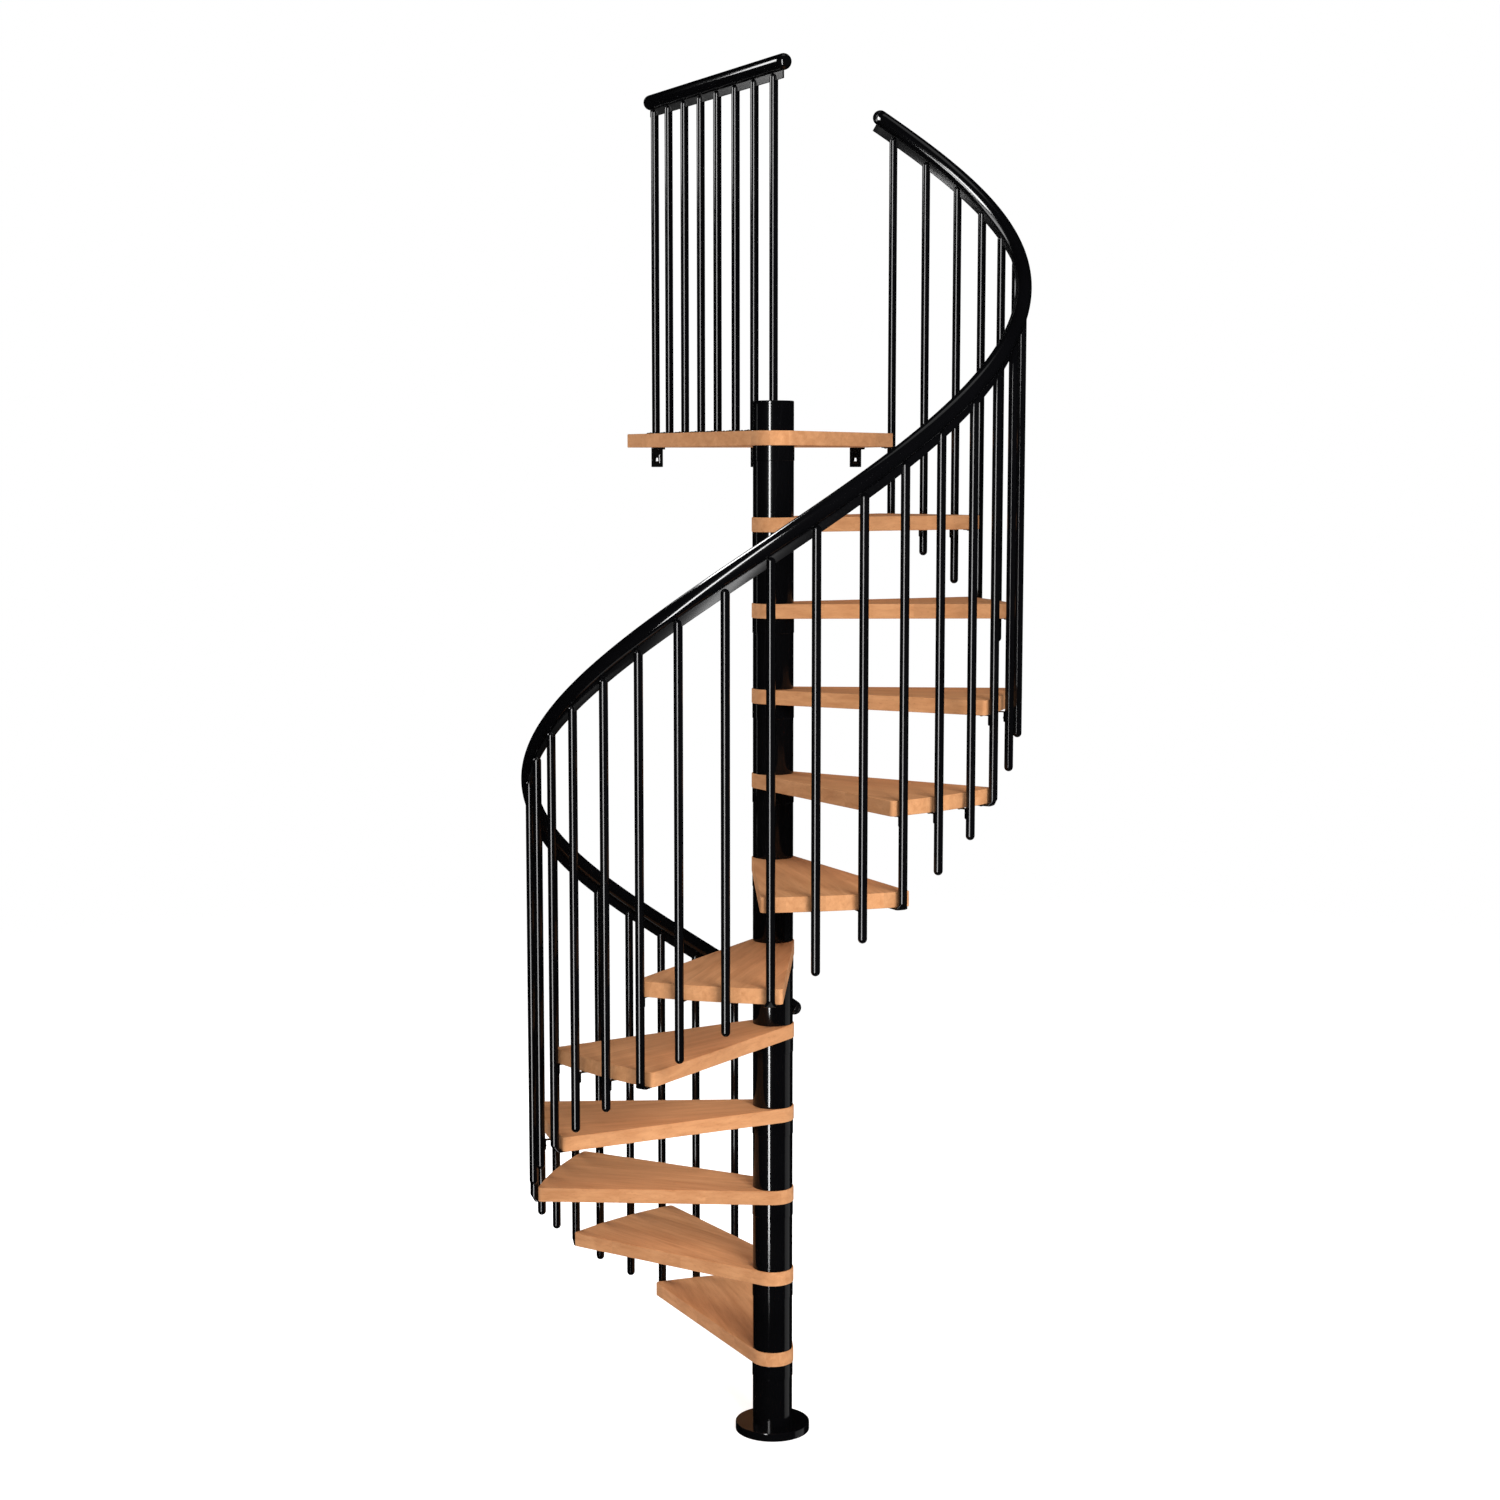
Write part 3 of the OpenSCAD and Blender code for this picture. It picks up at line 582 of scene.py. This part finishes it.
landing_rail_rise, rail_near_past, rail_far_past, rod_clearance = 868.0, 49.0, 24.0, 0.3
landing_gaps = [101.7] * 3 + [95.3] * 3 + [85.0]
landing_rail_z = landing_top + landing_rail_rise
landing_steps = np.concatenate([[0], np.cumsum(landing_gaps)])
landing_places = polar(1.0, rail_direction) * landing_steps[:, None]
rail_near, rail_far = -rail_near_past, landing_steps[-1] + rail_far_past
upright = np.array([0.0, 0.0, 1.0])
rail_out = np.append(polar(1.0, rail_direction), 0.0)
rail_side = np.array([-rail_out[1], rail_out[0], 0.0])
rail_start = upright * landing_rail_z
landing_tube = round_skin(rail_start, rail_out, rail_side, upright,
                          np.concatenate([rail_near - swell_in, rail_far + swell_out]),
                          np.concatenate([swell_out, swell_in]))
piece("landing_tube", [(landing_tube, False, True)], powder_coat, ["landing_rail"])

bar_section = rail_side * bar_out[:, None] + upright * bar_up[:, None]
bar_point = 0 * bar_section + upright * bar_middle
straight_bar = np.stack([bar_point + rail_out * rail_near, bar_section + rail_out * rail_near,
                         bar_section + rail_out * rail_far, bar_point + rail_out * rail_far]) + rail_start
piece("landing_bar", [(straight_bar[None], False, True)], satin_coat, ["landing_strip"])

landing_feet = np.full(len(landing_places), landing_top + plate_height)
landing_feet[0] = column_top
landing_tops = np.full(len(landing_places), landing_rail_z - rail_radius - rod_clearance)
landing_rods = rods(landing_places, landing_feet, landing_tops, False)
piece("landing_rods", [(landing_rods, False, True)], powder_coat, ["landing_balusters"])
plates = turned(plate_profile, landing_places[1:], np.full(len(landing_gaps), landing_top), plate_sides)
piece("landing_plates", [(plates, False, True)], powder_coat, ["landing_rosettes"])

# Wall brackets
# Flat steel cut and welded into angles, powder-coated black. One leg is screwed under the landing, and the
# other hangs at its back edge with a hole for the fixing into the upper floor.

wall_half, wall_sheet, wall_leg, wall_drop, wall_hole_drop, leg_shift = 15.5, 5.0, 80.0, 52.0, 32.0, 6.0
wall_centre, wall_gap, wall_hole, leg_hole = -40.0, 267.0, 5.0, 2.5
wall_corner, wall_corner_points, wall_ease = 1.5, 5, 0.6
wall_underside, leg_middle = landing_top - plank_height, landing_depth - wall_leg / 2
wall_middles = wall_centre + wall_gap * np.array([-1, 0, 1])


def oblong(left, right, low, high):
    """A rectangle with rounded corners, counter-clockwise from its low left corner."""
    ends = np.array([[left, low], [right, low], [right, high], [left, high]])
    trios = zip(np.roll(ends, 1, 0), ends, np.roll(ends, -1, 0))
    return np.concatenate([corner(*trio, wall_corner, wall_corner_points) for trio in trios])


hung = slab(oblong(-wall_half, wall_half, wall_hole_drop - wall_drop, wall_hole_drop),
            wall_sheet, wall_hole, wall_ease)
hung = np.stack([hung[..., 0], hung[..., 2] + landing_depth - wall_sheet,
                 hung[..., 1] + wall_underside - wall_hole_drop], -1)
laid = slab(oblong(-wall_half, wall_half, -wall_leg / 2, wall_leg / 2), wall_sheet, leg_hole, wall_ease)
laid = laid + np.array([leg_shift, leg_middle, wall_underside - wall_sheet])
apart = np.stack([wall_middles, 0 * wall_middles, 0 * wall_middles], -1)[:, None, None]
piece("wall_angles", [(hung + apart, True, True), (laid + apart, True, True)], powder_coat,
      ["wall_brackets"])

# Screws
# Button-headed steel screws, blackened: under each bracket, foot and wall angle, through each bracket into
# its baluster, and three in each round plate.

# Blackened screw steel: oiled black oxide, duller than the powder coat, with a faint brown mottle of 3 mm.
oxide_per_metre = 300.0
screw_steel, tree = finish_of("blackened_screw_steel")
place = join(tree, "TexCoord", {})
mottle = join(tree, "TexNoise", {"Vector": (place, "Object"), "Scale": oxide_per_metre, "Detail": 2.0})
oxide = join(tree, "MixRGB", {"Fac": (mottle, "Fac"), "Color1": linear("0f0f10"),
                              "Color2": linear("1d1a18")})
dull = join(tree, "MapRange", {"Value": (mottle, "Fac"), "To Min": 0.3, "To Max": 0.45})
shader = join(tree, "BsdfPrincipled", {"Base Color": (oxide, "Color"), "Roughness": (dull, "Result"),
                                       "Metallic": 0.6})
join(tree, "OutputMaterial", {"Surface": (shader, "BSDF")})

leg_screw_in, side_screw_drop, foot_screw_in, plate_screw_out = 22.0, 15.0, 31.0, 17.5
plate_screw_turns = np.array([30.0, 150.0, 270.0]) + rail_direction
head_profile = np.array([[1, -0.2], [1, 0.12], [0.8, 0.4], [0.48, 0.52], [0.42, 0.2], [0, 0.2]])
head_sides, aslant = 8, np.array([0.31, 0.17, 0.93])


def screw_heads(places, facing, radius):
    """Button heads: a low dome with a socket sunk in it, swung about each screw's axis, which faces out.
    A slanting direction, crossed with the axis, gives the first of the two directions across it."""
    profile = radius * head_profile
    facing = np.broadcast_to(facing, places.shape)
    across = np.cross(facing, aslant + facing[:, [1, 2, 0]])
    across = across / np.linalg.norm(across, axis=1)[:, None]
    other = np.cross(facing, across)
    swing = all_round(head_sides)[:, None]
    ring = across[:, None] * np.cos(swing) + other[:, None] * np.sin(swing)
    return (places[:, None, None] + profile[:, :1, None] * ring[:, None]
            + profile[:, 1:, None] * facing[:, None, None])


def at_height(points, heights):
    """Plan points with a height added as their third number."""
    return np.concatenate([points, np.broadcast_to(heights, len(points))[:, None]], 1)


inwards = at_height(-polar(1.0, baluster_turns), 0.0)
leg_screws = at_height(polar(bracket_circle - leg_screw_in, baluster_turns),
                       bracket_undersides - bracket_sheet)
side_screws = at_height(polar(bracket_circle - bracket_sheet, baluster_turns),
                        bracket_undersides - side_screw_drop)
foot_screws = at_height(polar(baluster_circle - foot_screw_in, baluster_turns[at_corners]),
                        foot_heights - foot_thickness)
wall_screws = at_height(np.stack([wall_middles + leg_shift, 0 * wall_middles + leg_middle], -1),
                        wall_underside - wall_sheet)
plate_ring = polar(plate_screw_out, plate_screw_turns)
plate_screws = np.concatenate(
    [at_height(middle + plate_ring, landing_top + plate_height) for middle in landing_places[1:]]
    + [at_height(baluster_places[0] + plate_ring, plate_height)])
screws = [screw_heads(places, facing, radius) for places, facing, radius in (
    (leg_screws, -upright, 4.0), (side_screws, inwards, 4.0), (foot_screws, -upright, 4.5),
    (wall_screws, -upright, 5.0), (plate_screws, upright, 3.0))]
piece("screws", [(heads, False, True) for heads in screws], screw_steel)

# Floor, light and camera
# A pale floor that fades into white, a soft lamp at the front and a weaker one at the back. Tall narrow
# lamps draw the thin highlights on the black tubes, between black curtains that keep their edges dark.
# Lengths are in metres here.

floor_half = 9.0


def seen_white(tree):
    """1 for a ray that comes from the camera, off gloss or through glass, and 0 for any other."""
    path = join(tree, "LightPath", {})
    eye_or_gloss = join(tree, "Math", {0: (path, "Is Camera Ray"), 1: (path, "Is Glossy Ray")},
                        operation="MAXIMUM")
    return join(tree, "Math", {0: (eye_or_gloss, "Value"), 1: (path, "Is Transmission Ray")},
                operation="MAXIMUM")


def backdrop(name, points, faces, cover):
    """A plain mesh of the studio from its points and faces, with its cover as material."""
    mesh = bpy.data.meshes.new(name)
    mesh.from_pydata(points, [], faces)
    mesh.materials.append(cover)
    return placed(name, mesh)


# Matt pale paper: it takes the stair's shadow, is lifted towards white where it is seen, and fades out
# between 2.5 and 8 m from the column.
pale_paper, tree = finish_of("pale_floor_paper")
seen = seen_white(tree)
paper = join(tree, "BsdfDiffuse", {"Color": linear("e6e6e6")})
glow_level = join(tree, "Math", {0: (seen, "Value"), 1: 0.62}, operation="MULTIPLY")
glow = join(tree, "Emission", {"Color": linear("ffffff"), "Strength": (glow_level, "Value")})
both = join(tree, "AddShader", {0: (paper, "BSDF"), 1: (glow, "Emission")})
place = join(tree, "TexCoord", {})
away = join(tree, "VectorMath", {0: (place, "Object")}, operation="LENGTH")
fade = join(tree, "MapRange", {"Value": (away, "Value"), "From Min": 2.5, "From Max": 8.0})
nothing = join(tree, "BsdfTransparent", {})
faded = join(tree, "MixShader", {"Fac": (fade, "Result"), 1: (both, "Shader"), 2: (nothing, "BSDF")})
join(tree, "OutputMaterial", {"Surface": (faded, "Shader")})

floor_corners = [(-floor_half, -floor_half, 0), (floor_half, -floor_half, 0),
                 (floor_half, floor_half, 0), (-floor_half, floor_half, 0)]
floor = backdrop("pale_floor", floor_corners, [(0, 1, 2, 3)], pale_paper)
floor.visible_glossy = False

world = bpy.data.worlds.new("white_studio")
bpy.context.scene.world = world
world.use_nodes = True
tree = world.node_tree
tree.nodes.clear()
seen = seen_white(tree)
room = join(tree, "Background", {"Color": linear("ffffff"), "Strength": 0.5})
white = join(tree, "Background", {"Color": linear("ffffff"), "Strength": 1.0})
sky = join(tree, "MixShader", {"Fac": (seen, "Value"), 1: (room, "Background"), 2: (white, "Background")})
join(tree, "OutputWorld", {"Surface": (sky, "Shader")})


def lamp(name, place, aim, width, height, power):
    """A rectangular lamp at a place in metres, turned to face its aim."""
    light = bpy.data.lights.new(name, "AREA")
    light.shape = "RECTANGLE"
    light.size, light.size_y, light.energy = width, height, power
    made = placed(name, light)
    made.location = place
    gaze = np.array(aim) - np.array(place)
    heading = np.arctan2(gaze[1], gaze[0]) - np.pi / 2
    tilt = np.arctan2(gaze[2], np.hypot(gaze[0], gaze[1])) + np.pi / 2
    made.rotation_euler = (tilt, 0, heading)
    made.visible_camera = False
    return made


for name, place, aim, side, power in (("front_soft", (2.7, -6.3, 4.4), (0, 0, 1.2), 3.0, 460),
                                      ("back_soft", (-2.6, 3.0, 1.9), (0, 0, 0.4), 2.0, 105)):
    lamp(name, place, aim, side, side, power).visible_glossy = False

# The shine lamps reach black parts alone, since the lacquer would take them as a glare. Each draws one line
# or patch of gloss, on the parts named with it; three stand close and light one part of a rail.
rails = ("handrail_tube", "landing_tube")
bars = ("handrail_bar", "landing_bar")
column = ("column_spacers", "column_clamps")
uprights = ("hanging_balusters", "footed_balusters", "floor_baluster", "landing_rods")
small = ("flange", "column_disc", "landing_plates", "baluster_angles", "wall_angles", "screws",
         "handrail_plugs")
for name, away, bearing, height, width, tall, power, parts in (
        ("thin_front_left", 7.0, -111.0, 2.1, 0.9, 7.7, 1300, column + small),
        ("rod_front_left", 7.0, -111.0, 2.1, 2.4, 7.7, 1300, uprights),
        ("rail_front_left", 7.0, -111.0, 0.2, 1.0, 11.6, 1950, rails),
        ("bar_front_left", 7.0, -117.0, 1.4, 1.7, 9.2, 1150, bars),
        ("wide_left", 7.0, 172.0, 5.6, 4.0, 3.4, 500, uprights),
        ("near_left", 1.47, 160.7, 3.93, 0.91, 1.0, 99, rails[:1]),
        ("thin_left", 7.0, 164.0, 2.85, 0.5, 4.7, 11, column),
        ("wide_right", 7.0, 5.0, -2.8, 5.0, 5.0, 55, column + small),
        ("near_back", 2.1, 132.3, 3.83, 0.56, 1.1, 8, rails[:1]),
        ("low_left", 7.0, 178.0, 4.0, 1.5, 0.8, 220, bars),
        ("landing_end", 1.24, 144.3, 3.7, 0.2, 0.3, 2.2, rails[1:] + bars[1:])):
    x, y = polar(away, bearing)
    shine = lamp(name, (x, y, height), (0, 0, height), width, tall, power)
    shine.visible_diffuse = False
    reached = bpy.data.collections.new("reached_by_" + name)
    for part in parts:
        reached.objects.link(bpy.data.objects[part])
    shine.light_linking.receiver_collection = reached

# The curtains hang all round, outside the lamps, and lean in above and below like a tent. They show in
# gloss alone: black tubes are photographed so. Matt black cloth, its weave too fine to show in such gloss.
black_cloth, tree = finish_of("black_curtain_cloth")
cloth = join(tree, "BsdfDiffuse", {"Color": linear("040404")})
join(tree, "OutputMaterial", {"Surface": (cloth, "BSDF")})
curtain_edges = ((3.0, -14.0), (9.0, -9.0), (9.0, 8.0), (3.0, 14.0))
curtain_turns = np.arange(0, 360, 7.5)
curtain_rows = np.concatenate([at_height(polar(r, curtain_turns), z) for r, z in curtain_edges])
curtain_cells = woven(len(curtain_edges), len(curtain_turns), False, True)
curtains = backdrop("black_curtains", curtain_rows.tolist(), curtain_cells.tolist(), black_cloth)
curtains.visible_camera = False
curtains.visible_diffuse = False
curtains.visible_transmission = False
curtains.visible_shadow = False

camera_tilt = 83.477
camera = placed("camera", bpy.data.cameras.new("camera"))
camera.data.sensor_width = 36.0
camera.data.lens = 59.314
camera.location = (-0.0570, -6.05402, 2.4283)
camera.rotation_euler = (np.radians(camera_tilt), 0, 0)
bpy.context.scene.camera = camera
bpy.context.scene.view_settings.view_transform = "Standard"
